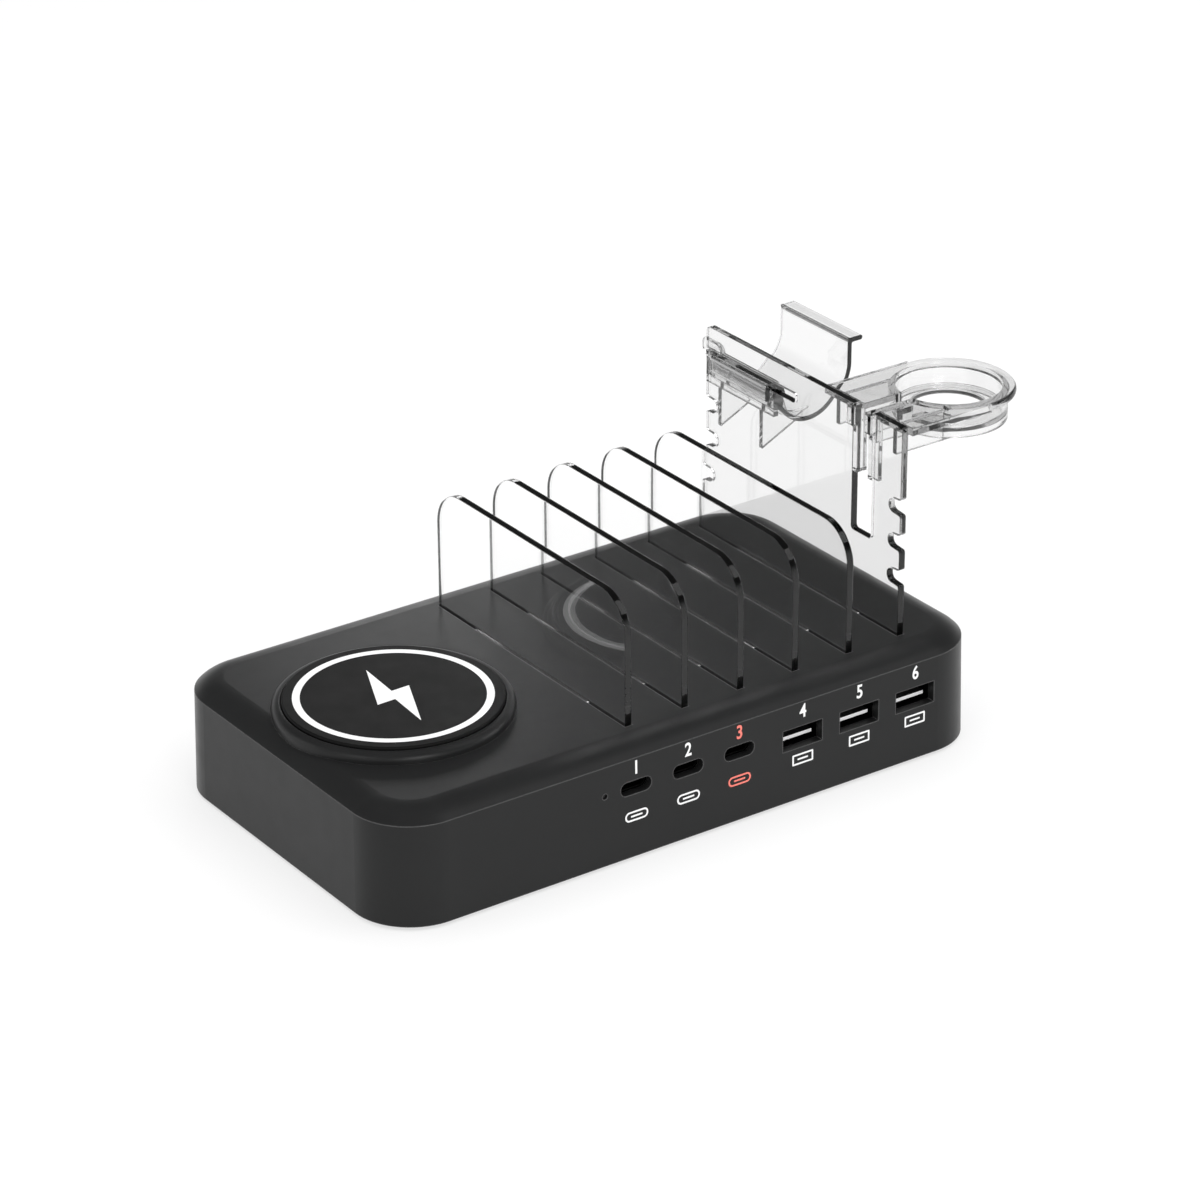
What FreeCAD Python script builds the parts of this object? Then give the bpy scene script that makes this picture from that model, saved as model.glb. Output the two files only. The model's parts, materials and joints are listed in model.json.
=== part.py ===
import FreeCAD, Part
import math
import os
import Sketcher
from types import SimpleNamespace
from FreeCAD import Rotation, Vector

# Charging station organizer: a domed housing with six ports and a wireless pad, five clear
# dividers, and a clear stand that carries an earbud cradle and a watch holder.
# Frame: ports face -Y, the pad is at -X, +Z is up and the desk is Z = 0.

SIZES = dict(
    # Housing
    base_length=193.7, base_width=109.2, base_corner=17.4, base_flare=0.46,
    surface_height=33.5, dome_rise=3.5, dome_inset=8.0, wall=2.4,
    cover_thickness=2.0, cover_gap=0.15,
    # Feet and screws, placed from the ends and sides of the housing
    foot_radius=6.5, foot_proud=1.1, foot_seat=1.0, foot_round=0.5,
    foot_inset_x=28.85, foot_inset_y=14.6,
    post_inset_x=10.85, post_inset_y=16.6, post_radius=4.0,
    case_head_radius=2.6, case_head_height=1.2, case_shank_radius=1.4, case_shank_length=9.0,
    board_head_radius=2.2, board_head_height=1.3, board_shank_radius=1.1, board_shank_length=5.0,
    pad_shank_length=3.6, boss_radius=2.9,
    # Wireless pad, placed from the left end
    pad_inset=36.35, pad_radius=29.6, pad_thickness=3.35, pad_edge=0.5, pad_seat_rise=0.4, pad_floor=1.5,
    pad_boss_radius=32.3, pad_boss_rise=1.4, pad_boss_round=1.4,
    coil_outer=23.5, coil_inner=10.5, coil_thickness=2.0, ferrite_radius=25.5, ferrite_thickness=1.0,
    pad_board_half=24.5, pad_board_thickness=1.2, pad_board_fixing=21.8,
    # Dividers, between the pad and the stand panel
    divider_gap=11.08, last_bay=17.884, divider_margin=10.325, divider_top=69.9, divider_corner=11.0,
    upright_thickness=2.0, tab_length=17.7, tab_depth=5.5, tab_round=0.6,
    slot_gap=0.2, seat_gap=0.15, groove_depth=0.5, well_wall=1.5, well_floor=1.1,
    # Stand panel, placed from the right end
    panel_inset=23.11, panel_margin=10.65, panel_top=95.0, panel_corner=1.6,
    notch_drop=21.4, notch_pitch=10.4, notch_mouth=4.5, notch_depth=5.0, notch_slope=0.4,
    notch_round=1.8, notch_lip_round=0.8,
    arm_inset=16.75, arm_slot_width=8.7, arm_slot_depth=37.2, arm_slot_round=1.0,
    cradle_slot_drop=9.23, cradle_slot_height=2.6, cradle_slot_lead=11.1, cradle_slot_round=0.8,
    # Earbud cradle, hung from the top of the panel
    cradle_overhang=1.05, cradle_length=31.0, cradle_wall=1.4, cradle_gap=0.2,
    trough_drop=0.4, trough_depth=21.3, trough_reach=26.2, trough_rise=7.5, trough_bottom_round=11.35,
    trough_side_round=12.0, trough_lip=3.7, trough_lip_thickness=1.4, trough_lip_round=0.6,
    plate_thickness=1.6, plate_rise=4.0, root_thickness=4.6, root_round=3.0,
    tongue_thickness=1.8, hook_drop=3.4, hook_length=25.6,
    pull_drop=5.0, pull_height=5.5, pull_reach=5.2, pull_root=5.3, pull_round=2.6,
    gusset_thickness=1.6, gusset_drop=7.4, gusset_reach=16.4, gusset_rise=0.45,
    gusset_front=5.7, gusset_pitch=19.2,
    # Watch holder, behind the top of the panel
    ring_reach=27.41, rim_radius=18.4, rim_thickness=2.3, rim_round=1.1, bore_radius=14.7,
    cup_radius=16.3, cup_depth=9.3, ledge_depth=6.2, ledge_thickness=1.6, ledge_hole=10.6,
    rib_offset=12.3, rib_thickness=1.6, cable_slot=4.7, channel_wall=1.6,
    leg_length=19.9, leg_gap=0.2, grip_width=1.2, grip_thickness=1.2, grip_height=6.0,
    # Ports on the front wall, placed from the right end and the surface
    usb_a_inset=25.102, usb_a_pitch=19.124, usb_a_drop=13.825, usb_a_width=13.2, usb_a_height=6.26,
    usb_a_wall=0.4, usb_a_depth=14.0, tongue_a_width=11.1, tongue_a_height=1.0,
    tongue_a_drop=1.25, tongue_a_back=3.3, block_a_depth=3.5,
    port_gap=21.026, usb_c_pitch=16.752, usb_c_width=8.4, usb_c_height=2.6, usb_c_round=1.2,
    usb_c_wall=0.38, usb_c_depth=8.5, usb_c_margin=0.3, tongue_c_width=6.7, tongue_c_height=0.7,
    tongue_c_back=3.2, block_c_depth=1.75,
    light_gap=9.93, light_radius=0.75, light_length=6.0, light_recess=0.8,
    led_width=3.0, led_depth=1.6, led_height=3.0,
    # Main board, placed from the right end and the long walls
    board_thickness=1.6, board_inset=16.85, board_length=116.0, board_front_gap=1.2, board_rear_gap=8.2,
    board_corner=3.0, board_fix_left=10.0, board_fix_right=15.0, board_fix_inset=24.6,
    # Parts under the board, placed from its left end
    inlet_offset=14.0, inlet_width=21.0, inlet_height=12.6, inlet_depth=17.0,
    inlet_nose_width=19.4, inlet_nose_height=10.8, inlet_nose_round=4.6, inlet_lobe=4.1,
    inlet_cavity=12.0, pin_pitch=8.6, pin_radius=1.2, pin_length=9.5, pin_root=2.5, mouth_waist=5.4,
    core_offset=58.0, core_y=12.0, core_length=26.0, core_width=12.0, core_height=14.0, core_leg=8.0,
    core_wall=4.0, winding_build=3.6, winding_play=0.3,
    bulk_offset=28.0, bulk_pitch=18.0, bulk_radius=6.3, bulk_height=14.0, can_round=0.8,
    output_offset=44.0, output_inset=27.6, output_pitch=16.0, output_radius=4.0, output_height=11.0,
    choke_offset=10.0, choke_gap=10.0, choke_radius=7.5, choke_hole=3.2, choke_height=8.0,
    choke_round=1.6,
    sink_offset=89.5, sink_front_gap=14.0, sink_rear_gap=5.0, sink_width=21.5, sink_base=2.0,
    sink_height=13.0, fin_thickness=1.5, fin_pitch=5.0,
    # Shared
    fit_gap=0.05, overrun=1.0,
)
DIVIDERS = 5
PORTS = 3
NOTCHES = 3
BULK_CANS = 2
OUTPUT_CANS = 4
FINS = 4
GUSSETS = 2
NEAR = 1e-4

doc = FreeCAD.newDocument("ChargingStation")
sheet = doc.addObject("Spreadsheet::Sheet", "Sizes")
for row, (name, number) in enumerate(SIZES.items(), start=1):
    sheet.set(f"A{row}", name)
    sheet.set(f"B{row}", str(number))
    sheet.setAlias(f"B{row}", name)
doc.recompute()


class Size:
    """A number together with the sheet formula that it comes from."""

    def __init__(self, value, formula):
        self.value = value
        self.formula = formula

    def joined(self, other, sign, value):
        return Size(value, f"({self.formula} {sign} {other.formula})")

    def __add__(self, other):
        other = as_size(other)
        return self.joined(other, "+", self.value + other.value)

    def __sub__(self, other):
        other = as_size(other)
        return self.joined(other, "-", self.value - other.value)

    def __mul__(self, other):
        other = as_size(other)
        return self.joined(other, "*", self.value * other.value)

    def __truediv__(self, other):
        other = as_size(other)
        return self.joined(other, "/", self.value / other.value)

    def __neg__(self):
        return Size(-self.value, f"(-1 * {self.formula})")


def as_size(number):
    return number if isinstance(number, Size) else Size(number, str(number))


ZERO = as_size(0)
s = SimpleNamespace(**{name: Size(number, f"Sizes.{name}") for name, number in SIZES.items()})

# Along the length. The middle of the whole object, with its watch ring, is X = 0.
half_length = s.base_length / 2
ring_end = s.upright_thickness + s.ring_reach + s.rim_radius
middle_x = (s.base_flare + s.panel_inset - ring_end) / 2
left_end = middle_x - half_length
right_end = middle_x + half_length
pad_x = left_end + s.pad_inset
panel_x = right_end - s.panel_inset
panel_back = panel_x + s.upright_thickness
ring_x = panel_back + s.ring_reach
divider_x = pad_x + s.pad_boss_radius + s.divider_gap
divider_pitch = (panel_x - s.last_bay - divider_x) / (DIVIDERS - 1)
board_right = right_end - s.board_inset
board_left = board_right - s.board_length
inlet_x = board_left + s.inlet_offset

# Across the width
half_width = s.base_width / 2
wall_inside = half_width - s.wall
divider_half = half_width - s.divider_margin
panel_half = half_width - s.panel_margin
arm_y = s.arm_inset - panel_half
cradle_rear = panel_half + s.cradle_overhang
cradle_front = cradle_rear - s.cradle_length
board_fix_y = half_width - s.board_fix_inset
output_y = s.output_inset - half_width

# Heights
crease_z = s.surface_height - s.dome_rise
dome_radius = (s.dome_inset * s.dome_inset + s.dome_rise * s.dome_rise) / (s.dome_rise * 2)
dome_overhang = dome_radius - s.dome_inset
roof_inside = s.surface_height - s.wall
cover_top = s.foot_proud + s.cover_thickness
usb_a_z = s.surface_height - s.usb_a_drop
board_under = usb_a_z + s.usb_a_height / 2 + s.usb_a_wall
board_top = board_under + s.board_thickness
usb_c_z = board_under - s.usb_c_wall - s.usb_c_height / 2
inlet_z = board_under - s.inlet_height / 2
tab_bottom = s.surface_height - s.tab_depth
groove_floor = s.surface_height - s.groove_depth
pad_seat = s.surface_height + s.pad_seat_rise
pad_top = pad_seat + s.pad_thickness
pad_boss_top = s.surface_height + s.pad_boss_rise
coil_top = pad_seat - s.pad_floor
coil_bottom = coil_top - s.coil_thickness
ferrite_bottom = coil_bottom - s.ferrite_thickness
pad_board_bottom = ferrite_bottom - s.pad_board_thickness
cradle_slot_bottom = s.panel_top - s.cradle_slot_drop


def slope_angle(rise):
    """The angle in degrees of a slope given as rise over run."""
    return Size(math.degrees(math.atan(rise.value)), f"atan({rise.formula})")


def bind(item, path, size):
    """Ties one property of an item to the sheet."""
    item.setExpression(path, as_size(size).formula)


def place(item, x=None, y=None, z=None):
    """Ties an item's position to the sheet."""
    for axis, size in zip("xyz", (x, y, z)):
        if size is not None:
            bind(item, f"Placement.Base.{axis}", size)
    return item


def box(name, x, y, z):
    """A block between the low and high ends given for each axis."""
    item = doc.addObject("Part::Box", name)
    for side, (low, high) in zip(("Length", "Width", "Height"), (x, y, z)):
        bind(item, side, as_size(high) - low)
    return place(item, x[0], y[0], z[0])


def rod(name, x, y, radius, z):
    """An upright cylinder between two heights."""
    item = doc.addObject("Part::Cylinder", name)
    bind(item, "Radius", radius)
    bind(item, "Height", as_size(z[1]) - z[0])
    return place(item, x, y, z[0])


def rod_along_y(name, x, y, radius, z):
    """A level cylinder that runs back from y[0] to y[1]."""
    item = doc.addObject("Part::Cylinder", name)
    item.Placement.Rotation = Rotation(Vector(1, 0, 0), -90)
    bind(item, "Radius", radius)
    bind(item, "Height", as_size(y[1]) - y[0])
    return place(item, x, y[0], z)


def fuse(name, items):
    item = doc.addObject("Part::MultiFuse", name)
    item.Shapes = items
    item.Refine = True
    return item


def cut(name, base, tools):
    item = doc.addObject("Part::Cut", name)
    item.Base = base
    item.Tool = tools[0] if len(tools) == 1 else fuse(f"{name}_tools", tools)
    item.Refine = True
    return item


def common(name, first, second):
    item = doc.addObject("Part::Common", name)
    item.Base = first
    item.Tool = second
    return item


def group(name, items):
    item = doc.addObject("Part::Compound", name)
    item.Links = items
    return item


def new_body(name):
    return doc.addObject("PartDesign::Body", name)


def outline(body, plane, points, level=ZERO):
    """A closed sketch of straight sides through points (across, up)."""
    sketch = body.newObject("Sketcher::SketchObject", f"{body.Name}_outline")
    support = next(item for item in body.Origin.OriginFeatures if item.Role == plane)
    sketch.AttachmentSupport = [(support, "")]
    sketch.MapMode = "FlatFace"
    bind(sketch, "AttachmentOffset.Base.z", level)
    spots = [Vector(point[0].value, point[1].value, 0) for point in points]
    for i, spot in enumerate(spots):
        sketch.addGeometry(Part.LineSegment(spots[i - 1], spot), False)
    for i, point in enumerate(points):
        following = (i + 1) % len(points)
        sketch.addConstraint(Sketcher.Constraint("Coincident", i, 2, following, 1))
        for kind, size in zip(("DistanceX", "DistanceY"), point):
            number = sketch.addConstraint(Sketcher.Constraint(kind, -1, 1, i, 2, size.value))
            sketch.renameConstraint(number, f"{kind}{i}")
            bind(sketch, f"Constraints.{kind}{i}", size)
    return sketch


def seen_along(plane, point):
    """A point's two coordinates in the plane of a sketch."""
    if plane == "YZ_Plane":
        return point.y, point.z
    return point.x, point.y if plane == "XY_Plane" else point.z


def round_corners(body, plane, points):
    """Rounds the corners of the last outline that carry a radius as their third number."""
    radii = {point[2].formula: point[2] for point in points if len(point) == 3}
    for formula, radius in radii.items():
        spots = [(p[0].value, p[1].value) for p in points if len(p) == 3 and p[2].formula == formula]

        def at_corner(edge):
            ends = [seen_along(plane, vertex.Point) for vertex in edge.Vertexes]
            return any(all(math.dist(end, spot) < NEAR for end in ends) for spot in spots)

        soften(body, radius, at_corner)


def level_of(plane, low, high):
    """How far to shift a sketch so that its pad fills the span from low to high."""
    return -as_size(high) if plane == "XZ_Plane" else as_size(low)


def extrude(body, plane, points, low, high):
    """Adds the outline to a body, between two positions along the plane's axis."""
    pad = body.newObject("PartDesign::Pad", f"{body.Name}_pad")
    pad.Profile = outline(body, plane, points, level_of(plane, low, high))
    bind(pad, "Length", as_size(high) - low)
    round_corners(body, plane, points)


def solid(name, plane, points, low, high):
    body = new_body(name)
    extrude(body, plane, points, low, high)
    return body


def turned(name, points, x=ZERO, y=ZERO):
    """A body of revolution about an upright axis at (x, y)."""
    body = new_body(name)
    turn = body.newObject("PartDesign::Revolution", f"{name}_turn")
    turn.Profile = outline(body, "XZ_Plane", points)
    turn.ReferenceAxis = (turn.Profile[0], ["V_Axis"])
    turn.Angle = 360
    round_corners(body, "XZ_Plane", points)
    return place(body, x, y)


def soften(body, radius, wanted):
    """Rounds the edges of a body's last feature that the test picks."""
    doc.recompute()
    feature = body.Tip
    edges = [f"Edge{i}" for i, edge in enumerate(feature.Shape.Edges, start=1) if wanted(edge)]
    if not edges:
        raise RuntimeError(f"no edge to round on {body.Label}")
    fillet = body.newObject("PartDesign::Fillet", f"{body.Name}_fillet")
    fillet.Base = (feature, edges)
    bind(fillet, "Radius", radius)
    return fillet


def at_height(size):
    """Picks the edges that lie at one height."""
    return lambda edge: all(abs(vertex.Z - size.value) < NEAR for vertex in edge.Vertexes)


def upright(edge):
    """Picks the edges that run up a wall."""
    low, high = sorted(vertex.Z for vertex in edge.Vertexes)
    return high - low > NEAR


def rectangle(half_x, half_y, *corner):
    """A rectangle about the origin, with rounded corners where a radius is given."""
    return [(half_x * i, half_y * j, *corner) for i, j in ((-1, -1), (1, -1), (1, 1), (-1, 1))]


def span(low, high, bottom, top):
    """The four corners of an upright rectangle."""
    return [(low, bottom), (high, bottom), (high, top), (low, top)]


# Housing
def pillow(name, inset, flare, bottom):
    """Slightly flared walls under a domed roof, with a crease where they meet."""
    lean = flare / (crease_z - s.foot_proud)
    out = (crease_z - bottom) * lean - inset
    walls = new_body(f"{name}_walls")
    pad = walls.newObject("PartDesign::Pad", f"{name}_pad")
    pad.Profile = outline(walls, "XY_Plane", rectangle(half_length + out, half_width + out), bottom)
    bind(pad, "Length", s.surface_height - bottom)
    bind(pad, "TaperAngle", -slope_angle(lean))
    soften(walls, s.base_corner - inset, upright)
    out = dome_overhang - inset
    corners = rectangle(half_length + out, half_width + out, s.base_corner + out)
    top = s.surface_height - inset
    dome = solid(f"{name}_dome", "XY_Plane", corners, bottom, top)
    soften(dome, dome_radius - inset, at_height(top))
    return common(name, place(walls, middle_x), place(dome, middle_x))


def corners_of(middle, half_x, half_z, corner):
    """The rounded corners of a port or mouth about its middle, in the plane of a long wall."""
    x, z = middle
    return [(x + half_x * i, z + half_z * j, corner) for i, j in ((-1, -1), (1, -1), (1, 1), (-1, 1))]


def both_sides(inset_x, inset_y):
    """Four places at the same inset from the ends and sides of the housing."""
    return [(middle_x + (half_length - inset_x) * i, (half_width - inset_y) * j)
            for i in (-1, 1) for j in (-1, 1)]


def row_of_ports(last, pitch):
    """The places of the ports in one row, which ends at the last one."""
    return [last - pitch * (PORTS - 1 - i) for i in range(PORTS)]


def upright_places():
    """The -X face and half width of each divider, then of the stand panel."""
    places = [(divider_x + divider_pitch * i, divider_half) for i in range(DIVIDERS)]
    return places + [(panel_x, panel_half)]


def tab_boxes(name, bottom, top, margin):
    """A box round each end tab of each upright, with a margin on its sides."""
    boxes = []
    for i, (x, half) in enumerate(upright_places()):
        across = (x - margin, x + s.upright_thickness + margin)
        near = half - s.tab_length - margin
        far = half + margin
        boxes.append(box(f"{name}_front_{i}", across, (-far, -near), (bottom, top)))
        boxes.append(box(f"{name}_rear_{i}", across, (near, far), (bottom, top)))
    return boxes


def grooves():
    """A shallow groove in the roof for the middle edge of each upright."""
    boxes = []
    for i, (x, half) in enumerate(upright_places()):
        across = (x - s.slot_gap, x + s.upright_thickness + s.slot_gap)
        boxes.append(box(f"groove_{i}", across, (-half, half), (groove_floor, s.surface_height + s.overrun)))
    return boxes


foot_places = both_sides(s.foot_inset_x, s.foot_inset_y)
post_places = both_sides(s.post_inset_x, s.post_inset_y)
board_fixings = [(x, y) for x in (board_left + s.board_fix_left, board_right - s.board_fix_right)
                 for y in (-board_fix_y, board_fix_y)]
pad_fixings = [(pad_x + s.pad_board_fixing * side, s.pad_board_fixing * side) for side in (-1, 1)]
usb_a_places = row_of_ports(right_end - s.usb_a_inset, s.usb_a_pitch)
usb_c_places = row_of_ports(usb_a_places[0] - s.port_gap, s.usb_c_pitch)
light_x = usb_c_places[0] - s.light_gap
front_cut = (-half_width - s.base_flare - s.overrun, -wall_inside + s.overrun)
rear_cut = (wall_inside - s.overrun, half_width + s.base_flare + s.overrun)


def nose_outline(margin):
    """The mains inlet's nose, seen from the rear."""
    return corners_of((inlet_x, inlet_z), s.inlet_nose_width / 2 + margin,
                      s.inlet_nose_height / 2 + margin, s.inlet_nose_round + margin)


def make_top_shell():
    skin = cut("skin", pillow("outer_form", ZERO, s.base_flare, s.foot_proud),
               [pillow("inner_form", s.wall, ZERO, ZERO)])
    boss = turned("pad_boss", [(ZERO, roof_inside), (s.pad_boss_radius, roof_inside),
                               (s.pad_boss_radius, pad_boss_top, s.pad_boss_round),
                               (ZERO, pad_boss_top)], pad_x)
    in_roof = roof_inside + s.wall / 2
    posts = [rod(f"case_post_{i}", x, y, s.post_radius, (cover_top, in_roof))
             for i, (x, y) in enumerate(post_places)]
    posts += [rod(f"board_boss_{i}", x, y, s.boss_radius, (board_top, in_roof))
              for i, (x, y) in enumerate(board_fixings)]
    posts += [rod(f"pad_boss_{i}", x, y, s.boss_radius, (ferrite_bottom, in_roof))
              for i, (x, y) in enumerate(pad_fixings)]
    well_bottom = tab_bottom - s.seat_gap - s.well_floor
    wells = tab_boxes("well", well_bottom, in_roof, s.slot_gap + s.well_wall)
    body = fuse("shell_blank", [skin, boss] + posts + wells)

    tools = tab_boxes("slot", tab_bottom - s.seat_gap, s.surface_height + s.overrun, s.slot_gap)
    tools += grooves()
    tools.append(rod("pad_seat_cut", pad_x, ZERO, s.pad_radius + s.fit_gap,
                     (pad_seat, pad_boss_top + s.overrun)))
    tools.append(rod("coil_pocket", pad_x, ZERO, s.ferrite_radius + s.slot_gap,
                     (roof_inside - s.overrun, coil_top)))
    half = s.usb_a_width / 2
    rise = s.usb_a_height / 2
    for i, x in enumerate(usb_a_places):
        tools.append(box(f"usb_a_cut_{i}", (x - half, x + half), front_cut,
                         (usb_a_z - rise, usb_a_z + rise)))
    margin = s.usb_c_wall + s.usb_c_margin
    for i, x in enumerate(usb_c_places):
        mouth = corners_of((x, usb_c_z), s.usb_c_width / 2 + margin, s.usb_c_height / 2 + margin,
                           s.usb_c_round + margin)
        tools.append(solid(f"usb_c_cut_{i}", "XZ_Plane", mouth, *front_cut))
    tools.append(rod_along_y("light_cut", light_x, front_cut, s.light_radius + s.fit_gap, usb_c_z))
    tools.append(solid("inlet_cut", "XZ_Plane", nose_outline(s.slot_gap), *rear_cut))
    case_pilot = s.case_shank_radius + s.fit_gap
    case_end = s.foot_proud + s.case_head_height + s.case_shank_length + s.overrun
    tools += [rod(f"case_pilot_{i}", x, y, case_pilot, (cover_top - s.overrun, case_end))
              for i, (x, y) in enumerate(post_places)]
    board_pilot = s.board_shank_radius + s.fit_gap
    tools += [rod(f"board_pilot_{i}", x, y, board_pilot, (board_top - s.overrun, roof_inside))
              for i, (x, y) in enumerate(board_fixings)]
    pad_pilot_z = (ferrite_bottom - s.overrun, roof_inside + s.fit_gap)
    tools += [rod(f"pad_pilot_{i}", x, y, board_pilot, pad_pilot_z)
              for i, (x, y) in enumerate(pad_fixings)]
    return cut("top_shell", body, tools)


def make_bottom_cover():
    inset = s.wall + s.cover_gap
    plate = solid("cover_plate", "XY_Plane",
                  rectangle(half_length - inset, half_width - inset, s.base_corner - inset),
                  s.foot_proud, cover_top)
    place(plate, middle_x)
    below = s.foot_proud - s.overrun
    tools = [rod(f"foot_recess_{i}", x, y, s.foot_radius + s.fit_gap, (below, s.foot_proud + s.foot_seat))
             for i, (x, y) in enumerate(foot_places)]
    for i, (x, y) in enumerate(post_places):
        tools.append(rod(f"head_recess_{i}", x, y, s.case_head_radius + s.slot_gap,
                         (below, s.foot_proud + s.case_head_height)))
        tools.append(rod(f"case_hole_{i}", x, y, s.case_shank_radius + s.fit_gap,
                         (below, cover_top + s.overrun)))
    return cut("bottom_cover", plate, tools)


def make_feet():
    top = s.foot_proud + s.foot_seat
    return group("rubber_feet", [
        turned(f"foot_{i}", [(ZERO, ZERO), (s.foot_radius, ZERO, s.foot_round), (s.foot_radius, top),
                             (ZERO, top)], x, y)
        for i, (x, y) in enumerate(foot_places)])


def screw(name, x, y, under_head, head_radius, head_height, shank_radius, shank_length):
    """A screw driven upwards, whose head ends at the given height."""
    low = under_head - head_height
    head = rod(f"{name}_head", x, y, head_radius, (low, under_head))
    shank = rod(f"{name}_shank", x, y, shank_radius, (low, under_head + shank_length))
    return fuse(name, [head, shank])


def make_case_screws():
    seat = s.foot_proud + s.case_head_height
    return group("case_screws", [
        screw(f"case_screw_{i}", x, y, seat, s.case_head_radius, s.case_head_height,
              s.case_shank_radius, s.case_shank_length)
        for i, (x, y) in enumerate(post_places)])


def make_board_screws():
    sizes = (s.board_head_radius, s.board_head_height, s.board_shank_radius)
    screws = [screw(f"board_screw_{i}", x, y, board_under, *sizes, s.board_shank_length)
              for i, (x, y) in enumerate(board_fixings)]
    pad_shank = s.pad_shank_length - s.pad_board_thickness
    screws += [screw(f"pad_screw_{i}", x, y, pad_board_bottom, *sizes, pad_shank)
               for i, (x, y) in enumerate(pad_fixings)]
    return group("board_screws", screws)


# Wireless pad
def make_charging_pad():
    return turned("charging_pad", [(ZERO, pad_seat), (s.pad_radius, pad_seat),
                                   (s.pad_radius, pad_top, s.pad_edge), (ZERO, pad_top)], pad_x)


def make_coil():
    return turned("wireless_coil", span(s.coil_inner, s.coil_outer, coil_bottom, coil_top), pad_x)


def make_ferrite():
    return rod("ferrite_plate", pad_x, ZERO, s.ferrite_radius, (ferrite_bottom, coil_bottom))


def make_pad_board():
    half = s.pad_board_half
    plate = box("pad_board_blank", (pad_x - half, pad_x + half), (-half, half),
                (pad_board_bottom, ferrite_bottom))
    holes = [rod(f"pad_board_hole_{i}", x, y, s.board_shank_radius + s.fit_gap,
                 (pad_board_bottom - s.overrun, ferrite_bottom + s.overrun))
             for i, (x, y) in enumerate(pad_fixings)]
    return cut("wireless_board", plate, holes)


# Clear uprights
def upright_outline(half, upper):
    """A sheet with two end tabs below and a middle edge in the roof's groove, closed by its upper points."""
    seat = groove_floor + s.seat_gap
    inner = half - s.tab_length
    tab = s.tab_round
    return [(-half, tab_bottom, tab), (-inner, tab_bottom, tab), (-inner, seat), (inner, seat),
            (inner, tab_bottom, tab), (half, tab_bottom, tab)] + upper


def make_divider(number):
    top, corner = s.divider_top, s.divider_corner
    upper = [(divider_half, top, corner), (-divider_half, top, corner)]
    body = solid(f"divider_{number + 1}", "YZ_Plane", upright_outline(divider_half, upper),
                 ZERO, s.upright_thickness)
    return place(body, divider_x + divider_pitch * number)


def notch_outline(number, side):
    """A cable notch in one end of the panel, from its lower lip to its upper one."""
    edge = panel_half * side
    end = (panel_half - s.notch_depth) * side
    top = s.panel_top - s.notch_drop - s.notch_pitch * number
    bottom = top - s.notch_mouth
    return [(edge, bottom, s.notch_lip_round), (end, bottom + s.notch_slope, s.notch_round),
            (end, top - s.notch_slope, s.notch_round), (edge, top, s.notch_lip_round)]


def make_stand_panel():
    """One sheet: cable notches at both ends, the cradle's slot at the rear and the holder's slot on top."""
    rear_notches = [point for i in reversed(range(NOTCHES)) for point in notch_outline(i, 1)]
    front_notches = [point for i in range(NOTCHES) for point in reversed(notch_outline(i, -1))]
    slot_top = cradle_slot_bottom + s.cradle_slot_height
    slot_front = cradle_front - s.cradle_slot_lead
    cradle_slot = [(panel_half, cradle_slot_bottom), (slot_front, cradle_slot_bottom, s.cradle_slot_round),
                   (slot_front, slot_top, s.cradle_slot_round), (panel_half, slot_top)]
    low = arm_y - s.arm_slot_width / 2
    high = arm_y + s.arm_slot_width / 2
    slot_bottom = s.panel_top - s.arm_slot_depth
    arm_slot = [(high, s.panel_top), (high, slot_bottom, s.arm_slot_round),
                (low, slot_bottom, s.arm_slot_round), (low, s.panel_top)]
    upper = rear_notches + cradle_slot + [(panel_half, s.panel_top, s.panel_corner)]
    upper += arm_slot + [(-panel_half, s.panel_top, s.panel_corner)] + front_notches
    body = solid("stand_panel", "YZ_Plane", upright_outline(panel_half, upper), ZERO, s.upright_thickness)
    return place(body, panel_x)


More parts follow.
